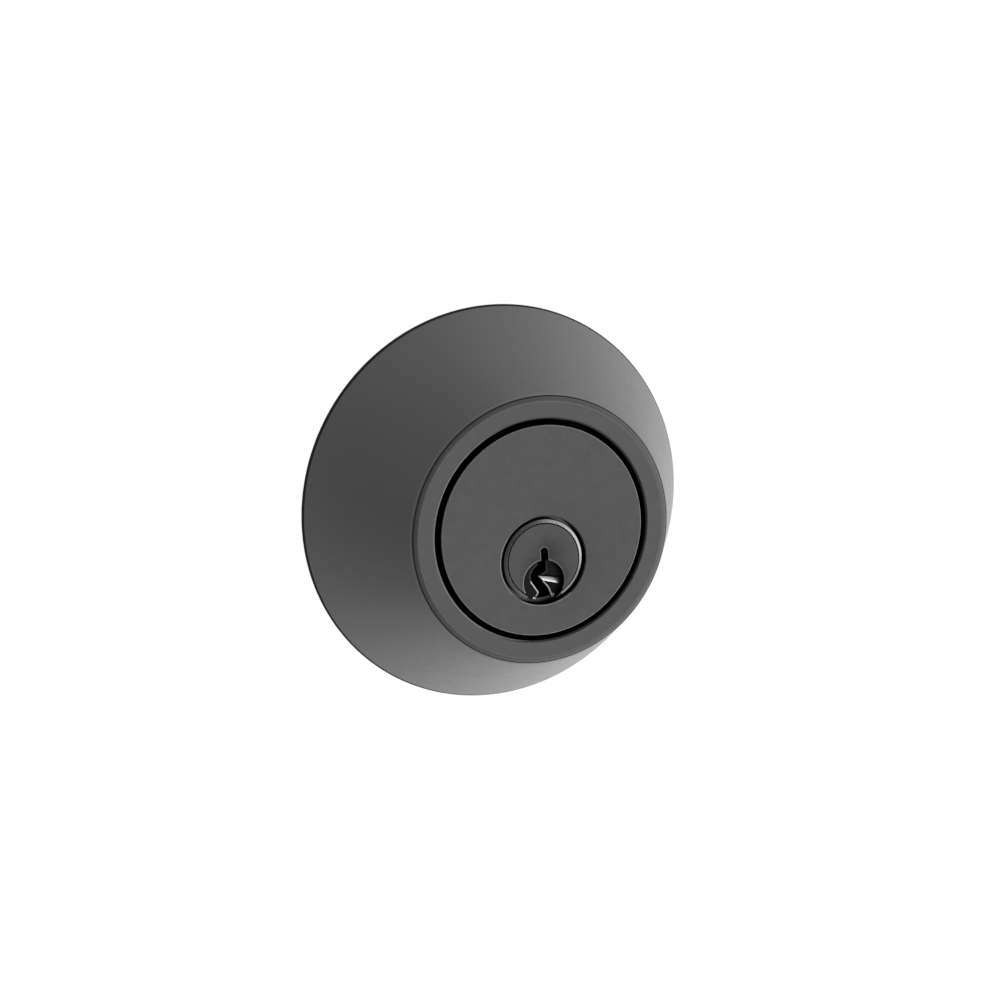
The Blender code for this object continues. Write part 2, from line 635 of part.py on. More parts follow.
def thumbturn():
    """Oval turn on a round base, whose spindle carries the ring groove and the tailpiece's socket."""
    pivot = (0.0, DOOR + INNER_ROSE_T, HUB_Z)
    front = DOOR + INNER_ROSE_T
    base = front + 1.1
    shape = turned("Y", HUB, rounded([
        (DOOR + 1.8, 0.0, 0.0), (DOOR + 1.8, SPINDLE_R, 0.4), (DOOR + 4.1, SPINDLE_R, 0.0),
        (DOOR + 4.1, 6.2, 0.0), (DOOR + 6.1, 6.2, 0.0), (DOOR + 6.1, SPINDLE_R, 0.0), (base, SPINDLE_R, 0.0),
        (base, 10.5, 0.0), (base + 2.2, 10.5, 0.9), (base + 4.0, 7.5, 0.0), (base + 4.0, 0.0, 0.0),
    ], 3), 48)
    end = TURN_HALF_Z - TURN_HALF_X
    outline = arc((0.0, HUB_Z + end), TURN_HALF_X, 0, 180, 10)
    outline += arc((0.0, HUB_Z - end), TURN_HALF_X, 180, 360, 10)
    lever = extruded("Y", outline, base + 1.5, base + TURN_REACH)
    for vertex in lever.data.vertices:
        lift = (vertex.co.y / MM - base) / TURN_REACH
        vertex.co.x *= 1.0 - 0.24 * math.sin(math.pi * min(max(lift, 0.0), 1.0))
    bevelled(lever, 1.3, 2, 50)
    joined(shape, lever)
    socket = rectangle(BLADE_HALF_X + GAP, BLADE_HALF_Z + GAP, 0.3, HUB, 2)
    cut(shape, extruded("Y", socket, DOOR, BLADE_END_Y + 1.0))
    node("thumbturn", shape, "trim", pivot)
    washer = turned("Y", HUB, [
        (front + GAP, SPINDLE_R + GAP), (front + GAP, 9.6), (base - GAP, 9.6), (base - GAP, SPINDLE_R + GAP),
    ], 40)
    node("thumbturn_wave_washer", washer, "steel", pivot)
    outer = arc(HUB, 8.9, 125, 415, 28)
    inner = arc(HUB, 6.5, 125, 415, 28)
    ring = extruded("Y", outer + inner[::-1], DOOR + 4.5, DOOR + 5.7)
    node("thumbturn_retaining_ring", ring, "steel", pivot)


def build():
    clear_scene()
    outer_rose()
    cylinder_body()
    key_plug()
    plug_rear()
    pins_and_springs()
    cylinder_fittings()
    cylinder_mounting_plate()
    bolt()
    bolt_slide()
    bolt_crank()
    bolt_case()
    bolt_guide_tube()
    faceplate()
    inner_mounting_plate()
    inner_rose()
    thumbturn()


build()
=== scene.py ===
"""Looks of the deadbolt door lock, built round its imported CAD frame.

Pieces are in the CAD's frame: X to the door's edge, Y through the door to the inside, Z up.
Lengths written here are in millimetres and turned into metres by MM.
"""

import json
import math

import bmesh
import bpy
from mathutils import Matrix, Vector
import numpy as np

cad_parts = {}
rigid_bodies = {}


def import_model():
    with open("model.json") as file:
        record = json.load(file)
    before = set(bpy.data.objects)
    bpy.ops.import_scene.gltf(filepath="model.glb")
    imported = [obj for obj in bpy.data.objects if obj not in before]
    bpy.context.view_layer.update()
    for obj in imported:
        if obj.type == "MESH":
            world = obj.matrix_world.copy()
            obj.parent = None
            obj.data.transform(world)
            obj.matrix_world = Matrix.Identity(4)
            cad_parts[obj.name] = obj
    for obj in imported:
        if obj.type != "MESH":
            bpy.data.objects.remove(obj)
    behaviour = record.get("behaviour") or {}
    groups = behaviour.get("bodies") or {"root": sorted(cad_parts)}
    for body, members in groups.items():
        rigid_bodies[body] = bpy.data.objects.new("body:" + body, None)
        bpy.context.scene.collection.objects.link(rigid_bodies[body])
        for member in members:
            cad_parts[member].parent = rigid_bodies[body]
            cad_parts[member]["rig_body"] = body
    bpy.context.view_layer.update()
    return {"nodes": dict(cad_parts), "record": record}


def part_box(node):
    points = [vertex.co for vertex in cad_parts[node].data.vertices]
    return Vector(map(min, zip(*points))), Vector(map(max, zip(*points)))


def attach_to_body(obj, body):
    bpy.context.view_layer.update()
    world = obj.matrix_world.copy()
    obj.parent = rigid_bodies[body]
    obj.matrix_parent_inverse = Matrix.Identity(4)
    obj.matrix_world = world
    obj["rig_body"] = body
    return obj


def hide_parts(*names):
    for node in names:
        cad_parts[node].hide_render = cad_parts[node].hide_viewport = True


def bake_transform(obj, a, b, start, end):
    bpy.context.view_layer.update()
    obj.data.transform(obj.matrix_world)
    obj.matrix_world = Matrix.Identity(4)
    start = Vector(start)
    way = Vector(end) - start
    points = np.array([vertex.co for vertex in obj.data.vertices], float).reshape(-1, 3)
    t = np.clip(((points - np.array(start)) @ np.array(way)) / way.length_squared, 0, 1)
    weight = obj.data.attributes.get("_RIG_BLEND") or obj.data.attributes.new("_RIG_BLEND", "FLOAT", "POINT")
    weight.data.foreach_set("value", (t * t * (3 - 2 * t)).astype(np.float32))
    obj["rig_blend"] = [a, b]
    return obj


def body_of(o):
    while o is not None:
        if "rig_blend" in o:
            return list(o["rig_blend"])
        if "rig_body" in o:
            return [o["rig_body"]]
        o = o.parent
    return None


MM = 0.001
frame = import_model()

SLOTS = {entry["node"]: entry["material_slot"] for entry in frame["record"]["subparts"]}


def low(name, axis):
    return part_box(name)[0][axis] / MM


def high(name, axis):
    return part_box(name)[1][axis] / MM


def middle(name, axis):
    return (low(name, axis) + high(name, axis)) / 2


# Places and sizes read from the frame
HUB_Z = middle("plug_cap", 2)
HUB = (0.0, HUB_Z)
ROSE_Z = middle("outer_rose", 2)
ROSE = (0.0, ROSE_Z)
ROSE_R = high("outer_rose", 0)
FRONT_Y = low("outer_rose", 1)
BODY_BACK_Y = high("cylinder_body", 1)
INNER_Y = low("inner_rose", 1)
INNER_FRONT_Y = high("inner_rose", 1)
MID_Y = middle("faceplate", 1)
EDGE_X = high("faceplate", 0)
BOLT_AXIS = (MID_Y, 0.0)

# Collar: start of the cone at the narrow rim, corner of the lip before rounding, seat, hollow and web
RIM_Y = -0.95
CONE_R = ROSE_R - 0.216
LIP_R = 21.87
LIP_ROUND = 1.6
SEAT_R = 29.0
HOLLOW_R = 22.4
WEB_Y = (-16.0, -13.0)
WEB_R = 15.8

# How far the shoulder's normal leans to the front where a line of painted shade and lighter painted sheen
# show
SHOULDER_LINE = (-0.80, -0.73)
SHOULDER_SHEEN = (-0.995, -0.47)

# Cylinder: the gap round its face disc, which sits a little off the collar's centre, and the parts behind
GROOVE_R = (17.28, 18.1)
FACE_AT = (0.1, ROSE_Z - 0.08)
DISC_BACK_Y = FRONT_Y + 3.6
DRUM_BACK_Y = WEB_Y[1] + 5.0
PLAY = 0.3
PIN_YS = [-13.6 + 3.97 * i for i in range(5)]
PIN_HOLE_R = 1.75

# Plug: its head is a little smaller than in the CAD, with a shallow groove inside a bevelled edge
PLUG_HEAD_R = high("key_plug", 0) - 0.12
PLUG_HEAD_Y = FRONT_Y + 2.0
PLUG_BORE_R = 7.25
PLUG_R = 6.35
RING_IN_R = PLUG_HEAD_R - 0.72
RING_LOW_R = PLUG_HEAD_R - 0.62
RING_OUT_R = PLUG_HEAD_R - 0.48

# Key guide round the keyway, with a nick at each of the keyway's feet, as (x, z, y)
GUIDE = (-0.2, HUB_Z - 3.45)
GUIDE_R = 3.5
GUIDE_Y = FRONT_Y + 1.5
FEET = ((-1.69, HUB_Z - 6.61, GUIDE_Y), (1.42, HUB_Z - 6.35, GUIDE_Y - 0.1))
FOOT_R = 0.45

# Keyway, as (x, height above the hub), and how deep its walls are painted black as shadow
KEYWAY_END_Y = 4.5
KEYWAY = (
    (0.28, 2.2), (-0.1, 2.05), (-0.38, 1.75), (-0.38, -0.85), (-1.45, -1.7), (-1.9, -2.6), (-1.85, -3.45),
    (-0.66, -5.55), (-1.7, -6.9), (-1.7, -8.0), (1.6, -8.0), (1.5, -6.9), (1.25, -5.9), (0.9, -4.95),
    (0.1, -3.8), (-0.7, -2.65), (0.35, -2.45), (0.9, -2.1), (0.9, 1.7), (0.6, 2.0),
)

# Faces no deeper than these belong to the front face and to the key guide's floor
ON_FRONT_Y = FRONT_Y + 0.0005
ON_FLOOR_Y = GUIDE_Y + 0.001

# Depth of the gap's edges above its walls painted as shadow, and the angle in degrees from which an edge
# stays sharp
GAP_SHADE_DEPTH = 0.18
SMOOTH_ANGLE = 30.0


# ---------------------------------------------------------------- outlines

def arc(centre, radius, start, end, steps):
    """Points along an arc, angles in degrees."""
    points = []
    for i in range(steps + 1):
        angle = math.radians(start + (end - start) * i / steps)
        points.append((centre[0] + radius * math.cos(angle), centre[1] + radius * math.sin(angle)))
    return points


def rounded(corners, steps, hold=0.02):
    """A closed outline of rounded (a, b, radius) corners. Points beside each arc hold the flats flat."""
    points = []
    for i, (a, b, radius) in enumerate(corners):
        here = Vector((a, b))
        if radius == 0:
            points.append((a, b))
            continue
        before = (Vector(corners[i - 1][:2]) - here).normalized()
        after = (Vector(corners[(i + 1) % len(corners)][:2]) - here).normalized()
        half = before.angle(after) / 2
        centre = here + (before + after).normalized() * radius / math.sin(half)
        start = here + before * radius / math.tan(half)
        end = here + after * radius / math.tan(half)
        turn = (start - centre).angle_signed(end - centre)
        points.append(tuple(start + before * hold))
        for k in range(steps + 1):
            points.append(tuple(centre + Matrix.Rotation(-turn * k / steps, 2) @ (start - centre)))
        points.append(tuple(end + after * hold))
    return points


def rectangle(half_a, half_b, radius, centre, steps=6):
    corners = ((half_a, half_b), (-half_a, half_b), (-half_a, -half_b), (half_a, -half_b))
    return rounded([(centre[0] + a, centre[1] + b, radius) for a, b in corners], steps)


def grown(outline, by):
    """A closed outline moved outwards by a distance, corner by corner."""
    points = [Vector(point) for point in outline]
    area = sum(a.x * b.y - b.x * a.y for a, b in zip(points, points[1:] + points[:1]))
    side = 1 if area > 0 else -1
    result = []
    for i, point in enumerate(points):
        first = (point - points[i - 1]).normalized()
        second = (points[(i + 1) % len(points)] - point).normalized()
        out_first = Vector((first.y, -first.x)) * side
        out_second = Vector((second.y, -second.x)) * side
        mitre = (out_first + out_second).normalized()
        result.append(tuple(point + mitre * by / max(mitre.dot(out_first), 0.4)))
    return result


# ---------------------------------------------------------------- meshes

def place(axis, along, a, b):
    return {"X": (along, a, b), "Y": (a, along, b), "Z": (a, b, along)}[axis]


def new_piece(name, bm):
    bmesh.ops.recalc_face_normals(bm, faces=bm.faces)
    bmesh.ops.scale(bm, vec=(MM, MM, MM), verts=bm.verts)
    mesh = bpy.data.meshes.new(name)
    bm.to_mesh(mesh)
    bm.free()
    piece = bpy.data.objects.new(name, mesh)
    bpy.context.scene.collection.objects.link(piece)
    return smoothed(piece)


def smoothed(piece):
    piece.data.shade_smooth()
    piece.data.set_sharp_from_angle(angle=math.radians(SMOOTH_ANGLE))
    return piece


def turned(name, axis, centre, profile, steps):
    """A profile of (along, radius) points, turned about an axis. Off the axis it is closed on itself."""
    bm = bmesh.new()
    rings = []
    for along, radius in profile:
        if radius < 1e-6:
            rings.append([bm.verts.new(place(axis, along, *centre))])
            continue
        ring = []
        for i in range(steps):
            angle = 2 * math.pi * i / steps
            a = centre[0] + radius * math.cos(angle)
            b = centre[1] + radius * math.sin(angle)
            ring.append(bm.verts.new(place(axis, along, a, b)))
        rings.append(ring)
    on_axis = len(rings[0]) == 1
    for first, second in zip(rings, rings[1:] if on_axis else rings[1:] + rings[:1]):
        for i in range(steps):
            j = (i + 1) % steps
            corners = [first[i % len(first)], first[j % len(first)]]
            corners += [second[j % len(second)], second[i % len(second)]]
            bm.faces.new(list(dict.fromkeys(corners)))
    return new_piece(name, bm)


def lofted(name, axis, outlines):
    """Skins a row of (along, outline) sections of equal length and caps both ends."""
    bm = bmesh.new()
    rings = [[bm.verts.new(place(axis, along, a, b)) for a, b in outline]
             for along, outline in outlines]
    for first, second in zip(rings, rings[1:]):
        for i in range(len(first)):
            j = (i + 1) % len(first)
            bm.faces.new((first[i], first[j], second[j], second[i]))
    bm.faces.new(rings[0])
    bm.faces.new(rings[-1])
    return new_piece(name, bm)


def extruded(name, axis, outline, start, end):
    return lofted(name, axis, ((start, outline), (end, outline)))


def rod(name, axis, centre, start, end, radius, steps):
    return extruded(name, axis, arc(centre, radius, 0, 360, steps)[:-1], start, end)


def block(name, corner, opposite):
    a0, a1 = sorted((corner[0], opposite[0]))
    b0, b1 = sorted((corner[1], opposite[1]))
    return extruded(name, "Z", ((a0, b0), (a1, b0), (a1, b1), (a0, b1)), corner[2], opposite[2])


def bake(piece):
    graph = bpy.context.evaluated_depsgraph_get()
    mesh = bpy.data.meshes.new_from_object(piece.evaluated_get(graph))
    piece.modifiers.clear()
    piece.data = mesh
    piece.data.name = piece.name


def combined(piece, operation, others):
    for other in others:
        modifier = piece.modifiers.new(operation, "BOOLEAN")
        modifier.operation = operation
        modifier.solver = "EXACT"
        modifier.object = other
    bake(piece)
    for other in others:
        bpy.data.objects.remove(other)
    return smoothed(piece)


def cut(piece, *others):
    return combined(piece, "DIFFERENCE", others)


def joined(piece, *others):
    return combined(piece, "UNION", others)


def softened(piece, width, segments=3, angle=SMOOTH_ANGLE):
    """Rounds every edge sharper than angle, and keeps the flats flat."""
    modifier = piece.modifiers.new("soft edges", "BEVEL")
    modifier.width = width * MM
    modifier.segments = segments
    modifier.limit_method = "ANGLE"
    modifier.angle_limit = math.radians(angle)
    modifier.harden_normals = True
    bake(piece)
    return piece


def dressed(piece, node, materials):
    """Gives the piece its materials and lets it stand for a CAD node."""
    piece.data.materials.clear()
    for material in materials or (LOOKS[SLOTS[node]],):
        piece.data.materials.append(material)
    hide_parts(node)


def attach(piece, node, *materials):
    """Dresses the piece and lets it ride the CAD node's body."""
    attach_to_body(piece, body_of(frame["nodes"][node])[0])
    dressed(piece, node, materials)


def paint_faces(piece, choose):
    """Gives each face one of the piece's materials, from choose(centre, normal), in millimetres."""
    numbers = {material.name: i for i, material in enumerate(piece.data.materials)}
    for face in piece.data.polygons:
        face.material_index = numbers[choose(face.center / MM, face.normal).name]


def from_axis(point, centre):
    return math.hypot(point.x - centre[0], point.z - centre[1])


# ---------------------------------------------------------------- materials

def set_inputs(node, inputs):
    """Sets a node's inputs, by name or number, to a value or to a link from an output socket."""
    for key, value in inputs.items():
        if isinstance(value, bpy.types.NodeSocket):
            node.id_data.links.new(value, node.inputs[key])
        else:
            node.inputs[key].default_value = value
    return node


def share_along(tree, vector, direction):
    """How far a vector reaches along a fixed direction."""
    node = tree.nodes.new("ShaderNodeVectorMath")
    node.operation = "DOT_PRODUCT"
    return set_inputs(node, {0: vector, 1: direction}).outputs["Value"]


def ranged(tree, value, start, end, first, last, kind="LINEAR"):
    """A number that goes from first to last while value goes from start to end."""
    node = tree.nodes.new("ShaderNodeMapRange")
    node.interpolation_type = kind
    set_inputs(node, {"Value": value, "From Min": start, "From Max": end, "To Min": first, "To Max": last})
    return node.outputs["Result"]


def metal(name, colour, roughness, metallic, grain, bump, spread, specular=0.5):
    """Metal or paint with fine grain in its gloss and surface and a broader one in its colour.

    grain is the fine noise's scale, and spread the share by which the colour varies.
    """
    material = bpy.data.materials.new(name)
    material.use_nodes = True
    tree = material.node_tree
    at = tree.nodes.new("ShaderNodeTexCoord").outputs["Object"]
    fine, broad = tree.nodes.new("ShaderNodeTexNoise"), tree.nodes.new("ShaderNodeTexNoise")
    set_inputs(fine, {"Vector": at, "Scale": grain, "Detail": 5.0})
    set_inputs(broad, {"Vector": at, "Scale": grain / 12, "Detail": 3.0})
    tint = set_inputs(tree.nodes.new("ShaderNodeValToRGB"), {"Fac": broad.outputs["Fac"]})
    for stop, position, share in zip(tint.color_ramp.elements, (0.3, 0.7), (1 - spread, 1 + spread)):
        stop.position = position
        stop.color = (*[c * share for c in colour], 1)
    relief = set_inputs(tree.nodes.new("ShaderNodeBump"), {
        "Strength": bump, "Distance": 0.0001, "Height": fine.outputs["Fac"]})
    set_inputs(tree.nodes["Principled BSDF"], {
        "Base Color": tint.outputs["Color"], "Metallic": metallic, "Specular IOR Level": specular,
        "Roughness": ranged(tree, fine.outputs["Fac"], 0.0, 1.0, roughness * 0.88, roughness * 1.12),
        "Normal": relief.outputs["Normal"]})
    return material


def faded(material, direction, start, end, last):
    """Dims a material's colour along a direction, from full at start to a fraction at end."""
    tree = material.node_tree
    base = tree.nodes["Principled BSDF"].inputs["Base Color"]
    at = tree.nodes.new("ShaderNodeTexCoord").outputs["Object"]
    along = share_along(tree, at, direction)
    scaled = tree.nodes.new("ShaderNodeVectorMath")
    scaled.operation = "SCALE"
    dimmer = ranged(tree, along, start * MM, end * MM, 1.0, last)
    set_inputs(scaled, {0: base.links[0].from_socket, "Scale": dimmer})
    tree.links.new(scaled.outputs["Vector"], base)


def grey(shade):
    return (shade, shade, shade)


# Paint on the outside trim, from the collar to the key guide's floor, then painted shadow, shade and sheen
TRIM = metal("trim_paint", grey(0.010), 0.38, 0.0, 700.0, 0.04, 0.08)
FACE = metal("face_paint", grey(0.006), 0.39, 0.0, 900.0, 0.04, 0.08)
PLUG_PAINT = metal("plug_paint", grey(0.006), 0.38, 0.0, 900.0, 0.04, 0.08, 0.44)
GUIDE_PAINT = metal("key_guide_floor", grey(0.006), 0.6, 0.0, 1200.0, 0.06, 0.1, 0.12)
# Near-black painted shadow for the walls of gaps, grooves and the keyway
SHADOW = metal("painted_gap_shadow", grey(0.0006), 0.7, 0.0, 900.0, 0.04, 0.2, 0.08)
# Painted shade: a band at the rim's back edge, a line on the shoulder and the plug's ring groove
RIM = metal("painted_shade_lines", grey(0.011), 0.7, 0.0, 900.0, 0.04, 0.1, 0.06)
# Lighter glossy paint as painted sheen on the shoulder and a painted lit patch in the plug's bore
PAINTED_SHEEN = metal("painted_sheen", grey(0.052), 0.40, 0.0, 900.0, 0.04, 0.1, 0.65)

# Bare metal where that paint has worn off, in places dimmed or placed by facing as painted shade and
# highlight
EDGE = metal("worn_edge_and_painted_shade", grey(0.44), 0.28, 1.0, 1200.0, 0.04, 0.1)
BARE_AND_SHADE = metal("bare_wedge_and_painted_shade", grey(0.50), 0.30, 1.0, 1200.0, 0.04, 0.1)
LINE = metal("bare_line", grey(0.50), 0.30, 1.0, 1200.0, 0.04, 0.1)
# A darker copy of the bare line, painted shade on the upper edge lines of the key guide's floor
SHADED_LINE = metal("painted_shade_guide_line", grey(0.05), 0.40, 1.0, 1200.0, 0.04, 0.1)
# Burnished metal on worn edges; where it goes by which way an edge faces, it is a painted highlight
BURNISH_AND_HIGHLIGHT = metal("burnish_and_painted_highlight", grey(0.16), 0.32, 1.0, 1200.0, 0.04, 0.1)
# The bare wedge dims towards +x, painted shade on its highlight
faded(BARE_AND_SHADE, (1.0, 0.0, 0.0), -0.6, 1.2, 0.35)
# The worn edge dims towards the lower left as painted shade
faded(EDGE, (0.8, 0.0, 0.6), 1.3, -0.6, 0.42)

# The rest of the lock
BRASS = metal("turned_brass", (0.62, 0.45, 0.19), 0.30, 1.0, 1200.0, 0.05, 0.08)
STEEL = metal("satin_steel", (0.32, 0.32, 0.33), 0.34, 1.0, 1500.0, 0.05, 0.06)
ZINC = metal("zinc_plate", (0.37, 0.38, 0.395), 0.40, 1.0, 420.0, 0.10, 0.16)
SPRING = metal("spring_wire", (0.36, 0.36, 0.37), 0.26, 1.0, 1800.0, 0.03, 0.05)

LOOKS = {"dark_trim": TRIM, "dark_plug": PLUG_PAINT, "brass": BRASS, "steel": STEEL,
         "spring_steel": SPRING, "zinc_plated": ZINC}


def carry_over():
    """CAD nodes whose shape is right keep it and get a worked material."""
    for name, item in frame["nodes"].items():
        item.data.materials.clear()
        item.data.materials.append(LOOKS[SLOTS[name]])


# ---------------------------------------------------------------- outside trim

def outer_rose():
    """Narrow rim, straight cone, flat lip with a round shoulder, and the seat ring behind."""
    bore = GROOVE_R[1]
    corners = [
        (0.0, ROSE_R, 0.3), (-0.5, ROSE_R, 0.5), (RIM_Y, CONE_R, 0.0), (FRONT_Y, LIP_R, LIP_ROUND),
        (FRONT_Y, bore, 0.5), (WEB_Y[0], bore, 0.0), (WEB_Y[0], WEB_R, 0.0), (WEB_Y[1], WEB_R, 0.2),
        (WEB_Y[1], HOLLOW_R, 0.6), (-1.0, SEAT_R, 0.2), (0.0, SEAT_R, 0.1),
    ]
    piece = turned("collar", "Y", ROSE, rounded(corners, 16), 288)
    attach(piece, "outer_rose", TRIM, SHADOW, BURNISH_AND_HIGHLIGHT, PAINTED_SHEEN, RIM)

    def choose(at, normal):
        radius = from_axis(at, ROSE)
        on_shoulder = radius > 20.0 and at.y < FRONT_Y + 1.5
        # A dark band at the rim's back edge and a line across the shoulder, both painted shade
        if radius > 30.0 and RIM_Y < at.y < 0.0:
            return RIM
        if on_shoulder and SHOULDER_LINE[0] < normal.y < SHOULDER_LINE[1]:
            return RIM
        # Lighter glossy paint on the rest of the shoulder, painted sheen
        if on_shoulder and SHOULDER_SHEEN[0] < normal.y < SHOULDER_SHEEN[1]:
            return PAINTED_SHEEN
        if radius > bore + 0.49 or at.y > WEB_Y[0] + 0.1:
            return TRIM
        # Deeper in, the gap's walls are painted black as shadow
        if at.y > FRONT_Y + GAP_SHADE_DEPTH:
            return SHADOW
        # Burnished metal on the lip's edge where it faces +x is a painted highlight; elsewhere trim paint
        return BURNISH_AND_HIGHLIGHT if normal.x > 0.15 else TRIM

    paint_faces(piece, choose)


def bible_outline():
    """The cylinder's rear section: a round barrel for the plug with the pin chambers standing on it."""
    radius, half, top = 8.8, 5.5, 14.0
    angle = math.degrees(math.asin(half / radius))
    barrel = arc(HUB, radius, 90 + angle, 450 - angle, 48)
    return barrel + [(half, top), (-half, top)]


def cylinder():
    """Face, collar and drum in one turned piece, with the plug's bore, pin chambers and screw holes."""
    face, collar, drum = GROOVE_R[0], GROOVE_R[1] - PLAY, WEB_R - PLAY
    web = WEB_Y[0] - PLAY
    profile = rounded([
        (DRUM_BACK_Y, 0.0, 0.0), (FRONT_Y, 0.0, 0.0), (FRONT_Y, face, 0.15), (DISC_BACK_Y, face, 0.0),
        (DISC_BACK_Y, collar, 0.1), (web, collar, 0.1), (web, drum, 0.0), (DRUM_BACK_Y, drum, 0.3),
    ], 8)
    piece = turned("cylinder", "Y", FACE_AT, profile[1:] + profile[:1], 256)
    joined(piece, extruded("bible", "Y", bible_outline(), WEB_Y[1] + 4.0, BODY_BACK_Y))
    mouth_edge = rounded([(FRONT_Y, PLUG_BORE_R + 1.0, 0.0), (FRONT_Y, PLUG_BORE_R, 0.22),
                          (FRONT_Y + 1.5, PLUG_BORE_R, 0.0)], 6)
    step, back = PLUG_HEAD_Y + PLAY, BODY_BACK_Y + 1.0
    hard_pins_x, screws_x = (-2.0, 2.0), (-12.3, 12.3)
    bore = turned("bore", "Y", HUB, [
        (FRONT_Y - 1.0, 0.0), (FRONT_Y - 1.0, PLUG_BORE_R + 0.5), (FRONT_Y - 0.0001, PLUG_BORE_R + 0.235),
        *mouth_edge[2:-2], (step, PLUG_BORE_R), (step, PLUG_R + PLAY), (back, PLUG_R + PLAY), (back, 0.0),
    ], 192)
    cutters = [
        block("flat", (-20.0, web, 14.0), (20.0, 10.0, 30.0)),
        block("cover_groove", (-2.6, WEB_Y[0] + 0.1, 12.6), (2.6, 4.9, 30.0)), bore,
    ]
    cutters += [rod("pin_hole", "Z", (0.0, y), -2.0, 20.0, PIN_HOLE_R, 32) for y in PIN_YS]
    cutters += [rod("hard_pin_hole", "Z", (x, -18.0), 1.5, 20.0, 1.2, 24) for x in hard_pins_x]
    cutters += [rod("screw_hole", "Y", (x, ROSE_Z), -15.0, -5.0, 1.8, 24) for x in screws_x]
    cut(piece, *cutters)
    attach(piece, "cylinder_body", FACE, SHADOW, BURNISH_AND_HIGHLIGHT, PAINTED_SHEEN)

    def choose(at, normal):
        if at.y < ON_FRONT_Y or at.y > WEB_Y[0]:
            return FACE
        if from_axis(at, HUB) < PLUG_BORE_R + 0.3:
            # Lighter paint on the step in the bore, a painted lit patch
            if PLUG_HEAD_Y + 0.2 < at.y < PLUG_HEAD_Y + 3.0:
                return PAINTED_SHEEN
            # Deeper in, the bore is painted black as shadow
            if at.y > FRONT_Y + 0.16:
                return SHADOW
            # Burnished metal where the bore's edge faces +x or lies at the bottom is a painted highlight
            return BURNISH_AND_HIGHLIGHT if normal.x > 0.1 or at.z < HUB_Z - 6.0 else FACE
        if at.y > DISC_BACK_Y + 0.1:
            return FACE
        # The disc's edge in burnished metal; behind it the gap's wall is painted black as shadow
        return BURNISH_AND_HIGHLIGHT if at.y < FRONT_Y + GAP_SHADE_DEPTH else SHADOW

    paint_faces(piece, choose)


def mouth(name, outline, start, depth, by):
    """Cutter that breaks the edge of a slot: the outline grown at the surface and true a little deeper."""
    return lofted(name, "Y", ((start - 0.004, grown(outline, by)), (start, grown(outline, by)),
                              (start + depth, grown(outline, -0.002))))


def guide_cutter():
    """Round recess with a rounded corner between its wall and floor."""
    profile = [(FRONT_Y - 1.0, 0.0), (FRONT_Y - 1.0, GUIDE_R + 0.2), (FRONT_Y, GUIDE_R + 0.2),
               (FRONT_Y + 0.08, GUIDE_R)]
    profile += arc((GUIDE_Y - 0.4, GUIDE_R - 0.4), 0.4, 90, 0, 6)
    return turned("guide", "Y", GUIDE, profile + [(GUIDE_Y, 0.0)], 96)


def guide_groove():
    """Cutter for the groove across the key guide's floor: deep above, with a shallow slope below."""
    sections = []
    for x, top, bottom, rise in ((-1.0, -2.4, -3.2, 0.05), (3.15, -3.45, -4.7, 0.30)):
        profile = ((-0.5, top), (0.4, top), (rise, top - 0.28), (0.0, bottom), (-0.5, bottom))
        sections.append((x, [(GUIDE_Y + y, z + HUB_Z) for y, z in profile]))
    return lofted("guide_groove", "X", sections)


